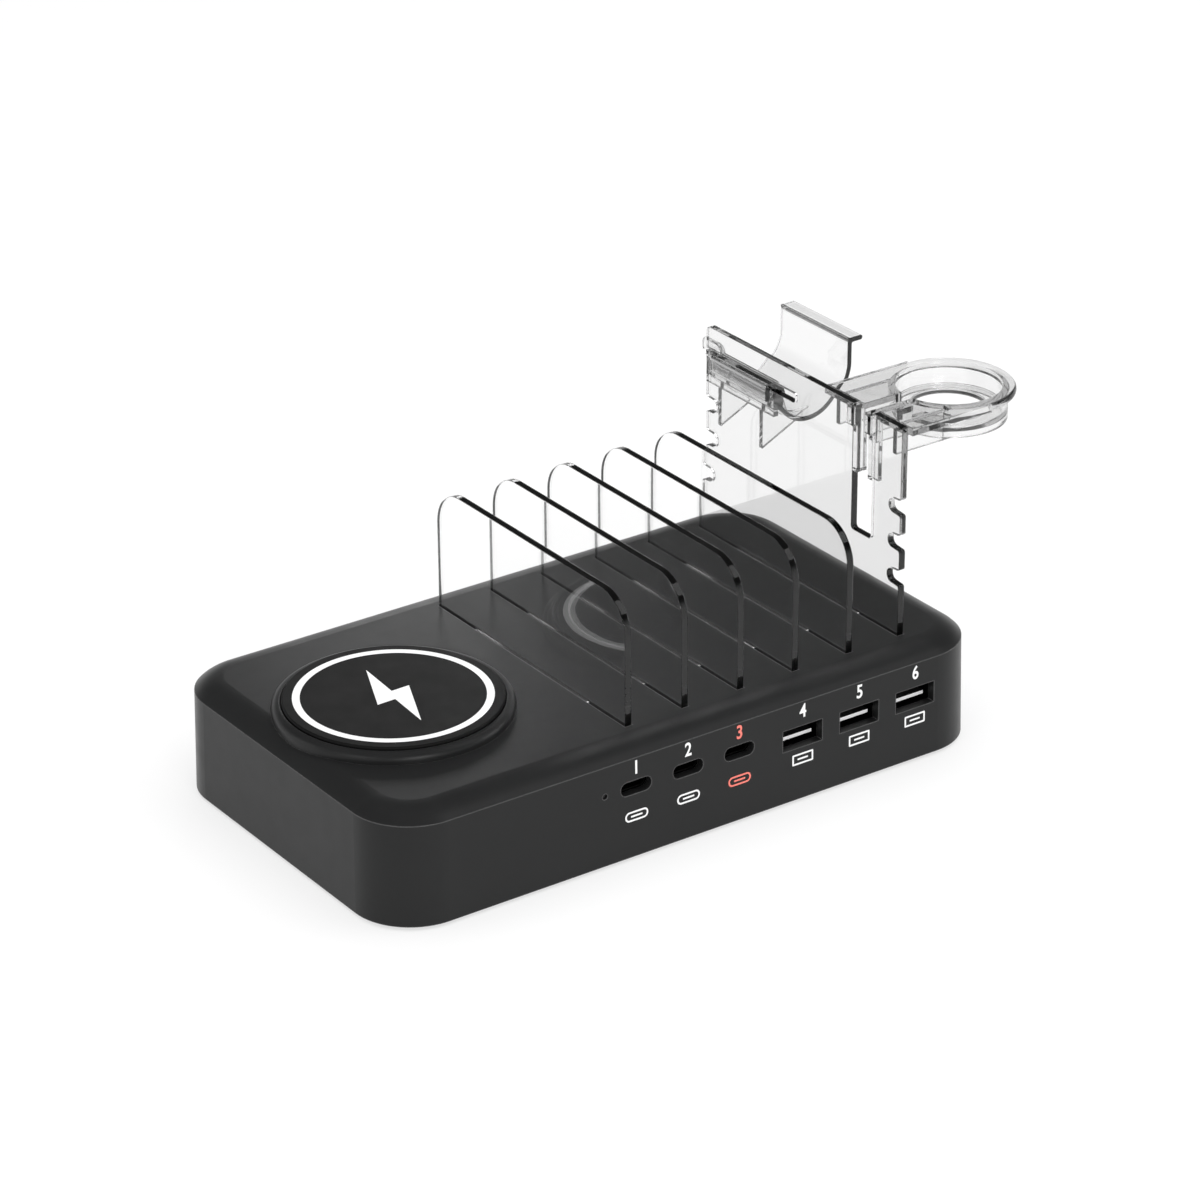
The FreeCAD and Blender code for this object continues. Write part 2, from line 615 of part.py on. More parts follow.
def make_cradle():
    """A trough that hangs on the panel by a tongue and hook, with two gussets and a tab to pull it out."""
    face = s.cradle_gap
    plate = face + s.plate_thickness
    root = face + s.root_thickness
    tongue_bottom = cradle_slot_bottom + s.seat_gap
    tongue_top = tongue_bottom + s.tongue_thickness
    hook_face = -s.upright_thickness - s.cradle_gap
    hook_back = hook_face - s.plate_thickness
    hook_end = tongue_bottom - s.hook_drop
    trough_top = s.panel_top - s.trough_drop
    trough_bottom = trough_top - s.trough_depth
    trough_start = trough_bottom + s.trough_rise
    plate_bottom = trough_bottom + s.plate_rise
    # The flanks slope at 45 degrees and would meet at the apex, below the round bottom.
    drop = s.trough_bottom_round * (math.sqrt(2) - 1)
    apex_x = face + s.trough_rise + drop
    apex_z = trough_bottom - drop
    knee_z = apex_z + s.trough_reach - apex_x
    lip_bottom = trough_top - s.trough_lip_thickness
    lip_end = s.trough_reach + s.trough_lip
    middle = s.trough_reach / 2
    edge = s.trough_lip_round
    pieces = [solid("cradle_form", "XZ_Plane", [
        (face, plate_bottom), (face, tongue_bottom), (hook_face, tongue_bottom),
        (hook_face, hook_end, edge), (hook_back, hook_end, edge), (hook_back, tongue_top, edge),
        (middle, tongue_top), (middle, trough_top),
        (lip_end, trough_top, edge), (lip_end, lip_bottom, edge), (s.trough_reach, lip_bottom, edge),
        (s.trough_reach, knee_z, s.trough_side_round), (apex_x, apex_z, s.trough_bottom_round),
        (plate, apex_z + apex_x - plate), (plate, plate_bottom)], cradle_front, cradle_rear)]
    gusset_bottom = trough_bottom - s.gusset_drop
    gusset_end = trough_bottom + s.gusset_rise
    for number in range(GUSSETS):
        near = cradle_front + s.gusset_front + s.gusset_pitch * number - s.gusset_thickness / 2
        pieces.append(solid(f"gusset_{number}", "XZ_Plane", [
            (face, gusset_bottom), (s.gusset_reach, gusset_end), (s.gusset_reach, trough_start),
            (face, trough_start)], near, near + s.gusset_thickness))
    pull_top = s.panel_top - s.pull_drop
    pull_bottom = pull_top - s.pull_height
    pull_start = panel_half - s.pull_root
    pull_end = panel_half + s.pull_reach
    pieces.append(solid("pull_tab", "YZ_Plane", [
        (pull_start, pull_bottom), (pull_end, pull_bottom, s.pull_round), (pull_end, pull_top, s.pull_round),
        (pull_start, pull_top, s.pull_round)], face, plate))
    # The trough's inside. Its near wall grows thicker from the tongue down to the root.
    lift = s.cradle_wall * math.sqrt(2)
    inside = s.trough_reach - s.cradle_wall
    over = trough_top + s.overrun
    void = solid("cradle_void", "XZ_Plane", [
        (plate, over), (plate, tongue_top), (root, apex_z + lift + apex_x - root, s.root_round),
        (apex_x, apex_z + lift, s.trough_bottom_round - s.cradle_wall),
        (inside, knee_z + lift - s.cradle_wall, s.trough_side_round - s.cradle_wall),
        (inside, over)], cradle_front - s.overrun, cradle_rear + s.overrun)
    hook_cut = box("hook_cut", (hook_back - s.overrun, hook_face),
                   (cradle_front + s.hook_length, cradle_rear + s.overrun),
                   (hook_end - s.overrun, tongue_top + s.overrun))
    tongue_cut = box("tongue_cut", (hook_back - s.overrun, face), (panel_half, cradle_rear + s.overrun),
                     (hook_end - s.overrun, tongue_top + s.overrun))
    blank = fuse("cradle_blank", pieces)
    return place(cut("earbud_cradle", blank, [void, hook_cut, tongue_cut]), panel_back)


def make_watch_holder():
    """A ring-shaped cup on an arm that slides down into the slot at the top of the panel."""
    top = s.panel_top
    near = panel_back + s.leg_gap
    plate_bottom = top - s.rim_thickness
    cup_bottom = top - s.cup_depth
    leg_bottom = top - s.leg_length
    arm = solid("arm_plate", "XY_Plane", [(near, -s.rim_radius), (ring_x, -s.rim_radius),
                                          (ring_x, s.rim_radius), (near, s.rim_radius)], plate_bottom, top)
    place(arm, ZERO, arm_y)
    rim = turned("rim", [(ZERO, plate_bottom), (s.rim_radius, plate_bottom, s.rim_round),
                         (s.rim_radius, top, s.rim_round), (ZERO, top)], ring_x, arm_y)
    cup = rod("cup", ring_x, arm_y, s.cup_radius, (cup_bottom, top - s.rim_round))
    pieces = [arm, rim, cup]
    half_slot = s.cable_slot / 2
    slot_side = s.arm_slot_width / 2
    under_plate = (cup_bottom, top - s.rim_thickness / 2)
    grip_front = panel_x - s.leg_gap - s.grip_thickness
    grip_back = near + s.grip_thickness
    for tag, side in (("front", -1), ("rear", 1)):
        def across(low, high):
            ends = (arm_y + low * side, arm_y + high * side)
            return ends if side > 0 else ends[::-1]
        rib = across(s.rib_offset - s.rib_thickness / 2, s.rib_offset + s.rib_thickness / 2)
        wall = across(half_slot, half_slot + s.channel_wall)
        leg = across(half_slot, slot_side - s.leg_gap)
        grip = across(half_slot, slot_side + s.grip_width)
        pieces.append(box(f"{tag}_rib", (near, ring_x), rib, under_plate))
        pieces.append(box(f"{tag}_channel", (near, ring_x), wall, under_plate))
        pieces.append(box(f"{tag}_leg", (panel_x, grip_back), leg, (leg_bottom, top)))
        pieces.append(box(f"{tag}_back_grip", (near, grip_back), grip, (leg_bottom, top)))
        pieces.append(box(f"{tag}_neck", (grip_front, near), leg, (top - s.grip_height, top)))
        pieces.append(box(f"{tag}_front_grip", (grip_front, panel_x - s.leg_gap), grip,
                          (top - s.grip_height, top)))
    blank = fuse("holder_blank", pieces)
    ledge_top = top - s.ledge_depth
    ledge_bottom = ledge_top - s.ledge_thickness
    over = top + s.overrun
    tools = [
        rod("bore", ring_x, arm_y, s.bore_radius, (ledge_top, over)),
        rod("ledge_hole", ring_x, arm_y, s.ledge_hole, (ledge_bottom - s.overrun, ledge_top + s.overrun)),
        rod("cup_hollow", ring_x, arm_y, s.bore_radius, (cup_bottom - s.overrun, ledge_bottom)),
        box("cable_way", (grip_front - s.overrun, ring_x), (arm_y - half_slot, arm_y + half_slot),
            (leg_bottom - s.overrun, over)),
    ]
    return cut("watch_holder", blank, tools)


# Ports
def make_usb_a(number, x):
    """A metal shell open to the front, and the insulator with its tongue inside."""
    front = -wall_inside + s.fit_gap
    back = front + s.usb_a_depth
    half_x = s.usb_a_width / 2
    half_z = s.usb_a_height / 2
    z = usb_a_z
    skin = s.usb_a_wall
    outer = box(f"usb_a_outer_{number}", (x - half_x - skin, x + half_x + skin), (front, back),
                (z - half_z - skin, z + half_z + skin))
    inner = box(f"usb_a_inner_{number}", (x - half_x, x + half_x), (front - s.overrun, back - skin),
                (z - half_z, z + half_z))
    shell = cut(f"usb_a_shell_{number}", outer, [inner])
    block_back = back - skin - s.fit_gap
    block_x = half_x - s.fit_gap
    block_z = half_z - s.fit_gap
    block = box(f"usb_a_block_{number}", (x - block_x, x + block_x),
                (block_back - s.block_a_depth, block_back), (z - block_z, z + block_z))
    middle = z - s.tongue_a_drop
    blade = box(f"usb_a_blade_{number}", (x - s.tongue_a_width / 2, x + s.tongue_a_width / 2),
                (-half_width + s.tongue_a_back, block_back),
                (middle - s.tongue_a_height / 2, middle + s.tongue_a_height / 2))
    return [shell, fuse(f"usb_a_tongue_{number}", [block, blade])]


def make_usb_c(number, x):
    """A rounded metal shell with a thin tongue inside."""
    front = -wall_inside + s.fit_gap
    back = front + s.usb_c_depth
    half_x = s.usb_c_width / 2
    half_z = s.usb_c_height / 2
    skin = s.usb_c_wall
    spot = (x, usb_c_z)
    outer = solid(f"usb_c_outer_{number}", "XZ_Plane",
                  corners_of(spot, half_x + skin, half_z + skin, s.usb_c_round + skin), front, back)
    inner = solid(f"usb_c_inner_{number}", "XZ_Plane",
                  corners_of(spot, half_x, half_z, s.usb_c_round), front - s.overrun, back - skin)
    shell = cut(f"usb_c_shell_{number}", outer, [inner])
    block_back = back - skin - s.fit_gap
    tongue = solid(f"usb_c_tongue_{number}", "XZ_Plane",
                   corners_of(spot, half_x - s.fit_gap, half_z - s.fit_gap, s.usb_c_round),
                   block_back - s.block_c_depth, block_back)
    side = s.tongue_c_width / 2
    rise = s.tongue_c_height / 2
    extrude(tongue, "XZ_Plane", span(x - side, x + side, usb_c_z - rise, usb_c_z + rise),
            -half_width + s.tongue_c_back, block_back)
    return [shell, tongue]


def make_light():
    """A light pipe set a little back in the front wall, and the LED behind it."""
    led_front = -half_width + s.light_length
    pipe_y = (-half_width + s.light_recess, led_front)
    pipe = rod_along_y("light_pipe", light_x, pipe_y, s.light_radius, usb_c_z)
    led = box("status_led", (light_x - s.led_width / 2, light_x + s.led_width / 2),
              (led_front, led_front + s.led_depth), (board_under - s.led_height, board_under))
    return [pipe, led]


# Mains side and what hangs under the board
def make_inlet():
    """A two-pin inlet: its block hangs under the board and its nose fills the hole in the rear wall."""
    back = wall_inside - s.fit_gap
    mouth = half_width
    block = box("inlet_block", (inlet_x - s.inlet_width / 2, inlet_x + s.inlet_width / 2),
                (back - s.inlet_depth, back), (board_under - s.inlet_height, board_under))
    nose = solid("inlet_nose", "XZ_Plane", nose_outline(ZERO), back - s.overrun, mouth)
    blank = fuse("inlet_blank", [block, nose])
    floor = mouth - s.inlet_cavity
    cavity = (floor, mouth + s.overrun)
    root = floor - s.pin_root
    pin_places = [inlet_x - s.pin_pitch / 2, inlet_x + s.pin_pitch / 2]
    half_waist = s.mouth_waist / 2
    tools = [box("inlet_waist", pin_places, cavity, (inlet_z - half_waist, inlet_z + half_waist))]
    pins = []
    for i, x in enumerate(pin_places):
        tools.append(rod_along_y(f"inlet_lobe_{i}", x, cavity, s.inlet_lobe, inlet_z))
        tools.append(rod_along_y(f"pin_socket_{i}", x, (root, floor + s.overrun), s.pin_radius, inlet_z))
        pins.append(rod_along_y(f"inlet_pin_{i}", x, (root, floor + s.pin_length),
                                s.pin_radius - s.fit_gap, inlet_z))
    return [cut("ac_inlet", blank, tools), group("inlet_pins", pins)]


def make_board():
    front = s.board_front_gap - wall_inside
    rear = wall_inside - s.board_rear_gap
    corner = s.board_corner
    plate = solid("board_blank", "XY_Plane", [(board_left, front, corner), (board_right, front, corner),
                                              (board_right, rear, corner), (board_left, rear, corner)],
                  board_under, board_top)
    through = (board_under - s.overrun, board_top + s.overrun)
    holes = [rod(f"board_hole_{i}", x, y, s.board_shank_radius + s.fit_gap, through)
             for i, (x, y) in enumerate(board_fixings)]
    return cut("main_board", plate, holes)


def make_transformer():
    """A ferrite core with two windows, and the winding round its middle leg."""
    middle = board_left + s.core_offset
    low = board_under - s.core_height
    x = (middle - s.core_length / 2, middle + s.core_length / 2)
    y = (s.core_y - s.core_width / 2, s.core_y + s.core_width / 2)
    through = (y[0] - s.overrun, y[1] + s.overrun)
    z = (low + s.core_wall, board_under - s.core_wall)
    leg = (middle - s.core_leg / 2, middle + s.core_leg / 2)
    windows = [box("core_window_left", (x[0] + s.core_wall, leg[0]), through, z),
               box("core_window_right", (leg[1], x[1] - s.core_wall), through, z)]
    core = cut("transformer_core", box("core_block", x, y, (low, board_under)), windows)
    half_x = s.core_leg / 2 + s.winding_play
    half_y = s.core_width / 2 + s.winding_play
    build = s.winding_build
    coil_z = (z[0] + s.winding_play, z[1] - s.winding_play)
    outer = solid("winding_block", "XY_Plane", rectangle(half_x + build, half_y + build, build), *coil_z)
    hole = box("winding_hole", (middle - half_x, middle + half_x), (s.core_y - half_y, s.core_y + half_y),
               (coil_z[0] - s.overrun, coil_z[1] + s.overrun))
    return [core, cut("transformer_winding", place(outer, middle, s.core_y), [hole])]


def can(name, x, y, radius, height):
    """An electrolytic capacitor that hangs under the board."""
    low = board_under - height
    profile = [(ZERO, low), (radius, low, s.can_round), (radius, board_under), (ZERO, board_under)]
    return turned(name, profile, x, y)


def make_capacitors():
    bulk = []
    for i in range(BULK_CANS):
        y = s.bulk_pitch * (i - (BULK_CANS - 1) / 2)
        bulk.append(can(f"bulk_can_{i}", board_left + s.bulk_offset, y, s.bulk_radius, s.bulk_height))
    output = []
    for i in range(OUTPUT_CANS):
        x = board_left + s.output_offset + s.output_pitch * i
        output.append(can(f"output_can_{i}", x, output_y, s.output_radius, s.output_height))
    return [group("bulk_capacitors", bulk), group("output_capacitors", output)]


def make_choke():
    low = board_under - s.choke_height
    profile = [(s.choke_hole, low, s.choke_round), (s.choke_radius, low, s.choke_round),
               (s.choke_radius, board_under), (s.choke_hole, board_under)]
    return turned("choke", profile, board_left + s.choke_offset, board_fix_y - s.choke_gap)


def make_heat_sink():
    middle = board_left + s.sink_offset
    x = (middle - s.sink_width / 2, middle + s.sink_width / 2)
    y = (output_y + s.output_radius + s.sink_front_gap, board_fix_y - s.sink_rear_gap)
    base = board_under - s.sink_base
    pieces = [box("sink_plate", x, y, (base, board_under))]
    for i in range(FINS):
        near = x[0] + s.fin_pitch / 2 + s.fin_pitch * i
        pieces.append(box(f"sink_fin_{i}", (near, near + s.fin_thickness), y,
                          (board_under - s.sink_height, base)))
    return fuse("heat_sink", pieces)


nodes = [make_top_shell(), make_bottom_cover(), make_feet(), make_case_screws(), make_charging_pad()]
nodes += [make_coil(), make_ferrite(), make_pad_board(), make_board(), make_board_screws()]
nodes += [make_divider(number) for number in range(DIVIDERS)]
nodes += [make_stand_panel(), make_cradle(), make_watch_holder()]
for number, (x_a, x_c) in enumerate(zip(usb_a_places, usb_c_places), start=1):
    nodes += make_usb_a(number, x_a) + make_usb_c(number, x_c)
nodes += make_light() + make_inlet() + make_transformer() + make_capacitors()
nodes += [make_choke(), make_heat_sink()]
doc.recompute()

failed = [item.Label for item in doc.Objects if {"Invalid", "Error"} & set(item.State)]
if failed:
    raise RuntimeError(f"not built: {failed}")
os.makedirs("parts", exist_ok=True)
for node in nodes:
    shape = node.Shape
    if shape.isNull() or not shape.isValid():
        raise RuntimeError(f"bad shape: {node.Label}")
    shape.exportStep(f"parts/{node.Label}.step")
    print(node.Label, len(shape.Solids), round(shape.Volume, 1))
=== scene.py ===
import json
import math

import bpy
from mathutils import Matrix, Vector


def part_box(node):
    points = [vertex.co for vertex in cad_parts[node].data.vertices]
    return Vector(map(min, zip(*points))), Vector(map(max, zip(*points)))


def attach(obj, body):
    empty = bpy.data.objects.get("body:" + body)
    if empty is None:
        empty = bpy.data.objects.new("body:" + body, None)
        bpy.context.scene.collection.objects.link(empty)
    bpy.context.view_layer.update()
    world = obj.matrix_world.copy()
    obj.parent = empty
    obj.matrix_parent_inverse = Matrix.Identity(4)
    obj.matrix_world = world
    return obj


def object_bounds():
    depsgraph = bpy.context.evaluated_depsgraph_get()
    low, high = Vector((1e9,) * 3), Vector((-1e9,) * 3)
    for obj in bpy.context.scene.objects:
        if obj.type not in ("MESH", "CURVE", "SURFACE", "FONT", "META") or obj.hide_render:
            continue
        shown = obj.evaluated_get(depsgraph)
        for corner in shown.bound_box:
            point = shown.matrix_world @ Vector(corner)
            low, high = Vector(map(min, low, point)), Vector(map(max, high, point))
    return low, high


# Looks of the charging station: charcoal housing, clear acrylic uprights and stand, printed marks.
# Metres, in the frame of the solids: ports face -Y, the pad is at -X, the desk is Z = 0.

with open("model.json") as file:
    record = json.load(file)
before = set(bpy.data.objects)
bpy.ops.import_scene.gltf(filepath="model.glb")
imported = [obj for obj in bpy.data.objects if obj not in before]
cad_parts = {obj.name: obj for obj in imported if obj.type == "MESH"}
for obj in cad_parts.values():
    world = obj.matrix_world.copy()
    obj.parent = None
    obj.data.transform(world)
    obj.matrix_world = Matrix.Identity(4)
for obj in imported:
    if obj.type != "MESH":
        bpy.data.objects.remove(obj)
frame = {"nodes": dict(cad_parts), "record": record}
cad_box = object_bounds()
nodes = frame["nodes"]
MM = 0.001
WHITE = (1, 1, 1)
BLACK = (0, 0, 0)

# Camera, as the photograph has it
CAMERA_PLACE = Vector((-0.63742, -0.90253, 0.58441))
CAMERA_AIM = Vector((-0.01943, -0.01909, 0.05751))
CAMERA_ROLL = math.radians(-0.32)
CAMERA_LENS = 136.24
CAMERA_SENSOR = 36.0

# Rounded shoulder of the housing round the pad
COLLAR_OUTER = 32.4 * MM
COLLAR_GAP = 0.25 * MM
COLLAR_DROP = 0.7 * MM
COLLAR_FOOT = 3.2 * MM
COLLAR_INNER_ROUND = 0.3 * MM
COLLAR_OUTER_ROUND = 2.2 * MM
COLLAR_ROUND_STEPS = 8
COLLAR_STEPS = 160
COLLAR_SHARP_TURN = math.radians(40)

# Prints on the pad and the front wall
PRINT_PROUD = 0.04 * MM
PRINT_THICKNESS = 0.03 * MM
RING_INNER = 24.66 * MM
RING_OUTER = 26.7 * MM
RING_STEPS = 160
BOLT_LENGTH = 33.0 * MM
BOLT_TURN = math.radians(-9)
# One half of the bolt, as shares of its length from its middle; the other half is turned half way round
BOLT_SHARES = ((-0.02, 0.5), (-0.18, -0.1), (-0.015, -0.07))
# Shares of a digit: its height in the font's size, its width in the font's, its added boldness in its height
NUMBER_HEIGHT = 3.4 * MM
NUMBER_FONT_SHARE = 0.62
NUMBER_WIDTH_SHARE = 0.82
NUMBER_BOLD_SHARE = 0.03
NUMBER_GAP = 2.2 * MM
# Width, height and corner radius of the port signs
USB_A_SIGN = (7.0 * MM, 3.2 * MM, 0.3 * MM)
USB_C_SIGN = (7.4 * MM, 2.9 * MM, 1.4 * MM)
SIGN_DROP = 3.0 * MM
SIGN_LINE = 0.5 * MM
SIGN_BAR_SHARE = 0.5
SIGN_BAR_ROUND_SHARE = 1 / 3
SIGN_LEAST_ROUND = 0.05 * MM
SIGN_STEPS = 8
PORTS_OF_A_KIND = 3
RED_PORT = 3
# The front wall is the largest face this near to the front that faces it this squarely
WALL_LEAN = 0.6 * MM
WALL_FACING = -0.99

# Materials: where most of a noise lies, and the painted highlight on sharp edges, set by the cosine between
# the rounded-off normal and the surface's own
NOISE_LOW, NOISE_HIGH = 0.3, 0.7
EDGE_SAMPLES = 6
EDGE_HIGHLIGHT_START = 0.99
EDGE_HIGHLIGHT_FULL = 0.955
ACRYLIC_IOR = 1.49
CHARCOAL_LEVEL = 0.0125
CHARCOAL_TINT = 0.0002

# Studio
FLOOR_SIZE = 2.6
FLOOR_TONE = 0.86
FLOOR_TONE_SWING = 0.004
FLOOR_BLOTCH = 0.4
FLOOR_GLOW_SHARE = 0.65
SKY_LEVEL = 0.1
HORIZON_LEVEL = 1.0
SKY_START, SKY_END = 0.06, 0.42
LAMP_AIM = (0, 0, 0.03)
LAMPS = (
    # name, place, aim, width, height, watts, whether gloss mirrors it
    ("overhead", (0.3, -0.1, 2.3), (0.3, -0.1, 0.0), 4.0, 4.0, 98.0, False),
    ("left", (-1.6, 0.9, 0.7), LAMP_AIM, 0.8, 0.9, 3.0, True),
    ("left_front", (-1.3, -0.5, 0.8), LAMP_AIM, 0.7, 0.7, 3.6, True),
    ("right", (1.0, -0.85, 1.45), LAMP_AIM, 0.8, 0.9, 3.0, True),
    ("right_front", (1.7, -0.8, 0.5), LAMP_AIM, 0.7, 0.7, 4.0, True),
    ("front", (-0.35, -1.5, 0.55), LAMP_AIM, 0.6, 0.6, 8.0, True),
    ("rear", (0.2, 0.424, 0.184), LAMP_AIM, 0.12, 0.08, 0.125, True),
)


def grey(value, tint=0.0):
    return (value - tint, value, value + tint)


def shade(tone, share):
    """A tone made darker or lighter."""
    return tuple(share * channel for channel in tone)


class Nodes:
    """A node tree being filled, and short ways to add nodes to it."""

    def __init__(self, tree):
        self.tree = tree

    def feed(self, socket, value):
        """Links a socket to a node's output, or gives it a plain value."""
        if isinstance(value, bpy.types.NodeSocket):
            self.tree.links.new(value, socket)
        elif socket.type == "RGBA":
            socket.default_value = (*value, 1)
        else:
            socket.default_value = value

    def set(self, node, inputs):
        for name, value in inputs.items():
            self.feed(node.inputs[name], value)
        return node

    def node(self, kind, inputs=None, **options):
        node = self.tree.nodes.new(kind)
        for name, value in options.items():
            setattr(node, name, value)
        return self.set(node, inputs or {})

    def arithmetic(self, operation, first, second):
        """The result of a piece of arithmetic on two numbers."""
        return self.node("ShaderNodeMath", {0: first, 1: second}, operation=operation).outputs[0]

    def ranged(self, value, start, end, low, high, **options):
        """Goes from low to high as a value goes from start to end, and no further."""
        node = self.node("ShaderNodeMapRange", {
            "Value": value, "From Min": start, "From Max": end, "To Min": low, "To Max": high}, **options)
        return node.outputs["Result"]

    def seen_by(self, *rays):
        """One where a ray is of one of the kinds named, such as from the camera, and zero elsewhere."""
        path = self.node("ShaderNodeLightPath")
        seen = path.outputs[rays[0]]
        for ray in rays[1:]:
            seen = self.arithmetic("MAXIMUM", seen, path.outputs[ray])
        return seen


class Paint(Nodes):
    """A material being made: its main shader, and short ways to give it grain, tone and sheen."""

    def __init__(self, name, tone, roughness, **sockets):
        self.material = bpy.data.materials.new(name)
        self.material.use_nodes = True
        super().__init__(self.material.node_tree)
        self.shader = self.tree.nodes["Principled BSDF"]
        self.output = self.tree.nodes["Material Output"]
        self.set(self.shader, {"Base Color": tone, "Roughness": roughness, **sockets})
        self.place = self.node("ShaderNodeTexCoord").outputs["Object"]

    def noise(self, size, detail=2.0, stretch=(1, 1, 1)):
        """Soft random grey whose blobs are about the given size in metres."""
        place = self.node("ShaderNodeMapping", {"Vector": self.place, "Scale": stretch}).outputs["Vector"]
        noise = self.node("ShaderNodeTexNoise", {"Vector": place, "Scale": 1 / size, "Detail": detail})
        return noise.outputs["Fac"]

    def between(self, noise, low, high):
        """Turns a noise, which lies about a half, into a number between low and high."""
        return self.ranged(noise, NOISE_LOW, NOISE_HIGH, low, high)

    def colour_mix(self, factor, first, second):
        """Gives the surface a colour between two; each is a tone or comes from a node."""
        node = self.node("ShaderNodeMix", {"Factor": factor}, data_type="RGBA")
        sockets = {socket.identifier: socket for socket in (*node.inputs, *node.outputs)}
        self.feed(sockets["A_Color"], first)
        self.feed(sockets["B_Color"], second)
        self.set(self.shader, {"Base Color": sockets["Result_Color"]})

    def tones(self, noise, first, second):
        """Two close colours, mixed by a noise."""
        self.colour_mix(self.between(noise, 0, 1), first, second)

    def rough(self, noise, low, high):
        self.set(self.shader, {"Roughness": self.between(noise, low, high)})

    def rounded_normal(self, edge):
        """The surface's normal, as if its sharp edges were rounded to a radius."""
        return self.node("ShaderNodeBevel", {"Radius": edge}, samples=EDGE_SAMPLES).outputs["Normal"]

    def bump(self, noise, height, edge=None):
        """Raises the surface by a noise, on rounded edges if their radius is given."""
        inputs = {"Height": noise, "Distance": height, "Strength": 1.0}
        if edge:
            inputs["Normal"] = self.rounded_normal(edge)
        self.set(self.shader, {"Normal": self.node("ShaderNodeBump", inputs).outputs["Normal"]})

    def wear(self, edge, tone):
        """Paints a highlight on sharp edges: lightens them where the rounded normal leaves the surface's
        own.
        """
        own = self.node("ShaderNodeNewGeometry").outputs["Normal"]
        normals = {0: self.rounded_normal(edge), 1: own}
        cosine = self.node("ShaderNodeVectorMath", normals, operation="DOT_PRODUCT").outputs["Value"]
        painted_edge_highlight = self.ranged(cosine, EDGE_HIGHLIGHT_START, EDGE_HIGHLIGHT_FULL, 0, 1)
        # Painted highlight: the edge colour is mixed towards a lighter tone
        unhighlit_tone = self.shader.inputs["Base Color"].links[0].from_socket
        self.colour_mix(painted_edge_highlight, unhighlit_tone, tone)

    def blend_shader(self, factor, second):
        """Shows a second shader in place of the main one, as far as the factor goes from zero to one."""
        mix = self.node("ShaderNodeMixShader", {"Fac": factor, 1: self.shader.outputs["BSDF"], 2: second})
        self.set(self.output, {"Surface": mix.outputs["Shader"]})


def moulded(name, tone, roughness, grain=0.35 * MM, height=0.012 * MM, edge=None, painted_edge_highlight=None, **sockets):
    """Moulded plastic or rubber: fine grain, slightly uneven tone and sheen, and sharp edges that may get a
    painted highlight.
    """
    paint = Paint(name, tone, roughness, **sockets)
    darker_share, lighter_share = 0.94, 1.06
    cloud = paint.noise(size=22 * MM, detail=3.0)
    paint.tones(cloud, shade(tone, darker_share), shade(tone, lighter_share))
    sheen_swing = 0.03
    paint.rough(paint.noise(size=6 * MM, detail=4.0), roughness - sheen_swing, roughness + sheen_swing)
    paint.bump(paint.noise(grain), height, edge)
    # Painted highlight: sharp edges lightened towards the given tone
    if painted_edge_highlight:
        paint.wear(edge, painted_edge_highlight)
    return paint.material


def metal(name, tone, roughness, stretch=(1, 1, 1)):
    """Plated or drawn metal with fine lines along one way."""
    paint = Paint(name, tone, roughness, Metallic=1.0)
    darker_share, lighter_share = 0.9, 1.08
    smoother, rougher = 0.06, 0.08
    lines = paint.noise(size=0.6 * MM, detail=4.0, stretch=stretch)
    paint.tones(lines, shade(tone, darker_share), shade(tone, lighter_share))
    paint.rough(lines, roughness - smoother, roughness + rougher)
    paint.bump(lines, height=0.004 * MM)
    return paint.material


def acrylic(name, density):
    """Clear sheet: long ways through it turn grey, and lamps reach what is behind it."""
    paint = Paint(name, WHITE, 0.0, IOR=ACRYLIC_IOR)
    paint.set(paint.shader, {"Transmission Weight": 1.0})
    paint.rough(paint.noise(size=9 * MM, detail=4.0), low=0.0, high=0.025)
    paint.bump(paint.noise(size=14 * MM, detail=1.0), height=0.01 * MM, edge=0.45 * MM)
    lamp_light_share = 0.93
    clear = paint.node("ShaderNodeBsdfTransparent", {"Color": shade(WHITE, lamp_light_share)})
    paint.blend_shader(paint.seen_by("Is Shadow Ray"), clear.outputs["BSDF"])
    inside = paint.node("ShaderNodeVolumeAbsorption", {"Color": BLACK, "Density": density})
    paint.set(paint.output, {"Volume": inside.outputs["Volume"]})
    return paint.material


def print_ink(name, tone):
    """Screen-printed ink, a little uneven."""
    paint = Paint(name, tone, roughness=0.5)
    thin_share = 0.96
    paint.tones(paint.noise(size=1.5 * MM, detail=4.0), shade(tone, thin_share), tone)
    paint.rough(paint.noise(size=0.8 * MM), low=0.45, high=0.6)
    paint.bump(paint.noise(size=0.2 * MM), height=0.004 * MM)
    return paint.material


def frosted_light():
    """The end of the light pipe, unlit."""
    paint = Paint("light_pipe_frosted", grey(0.03), roughness=0.35, IOR=ACRYLIC_IOR)
    paint.tones(paint.noise(size=0.6 * MM), grey(0.02), grey(0.05))
    paint.bump(paint.noise(size=0.15 * MM), height=0.006 * MM)
    return paint.material


def tipped_insulator():
    """Port tongue with painted light and shade: faces towards the front painted white as lit, the rest black
    as shaded.
    """
    black, white = grey(0.012), grey(0.9)
    paint = Paint("port_insulator_painted_lit_front", black, roughness=0.45)
    # Painted light and shade: the more a face turns to the front the whiter it is painted, as if lit; faces
    # turned away are painted black as if in shade
    normal = paint.node("ShaderNodeNewGeometry").outputs["Normal"]
    split = paint.node("ShaderNodeSeparateXYZ", {"Vector": normal})
    paint.tones(paint.arithmetic("MULTIPLY", split.outputs["Y"], -1.0), black, white)
    paint.rough(paint.noise(size=2 * MM), low=0.4, high=0.5)
    paint.bump(paint.noise(size=0.3 * MM), height=0.006 * MM)
    return paint.material


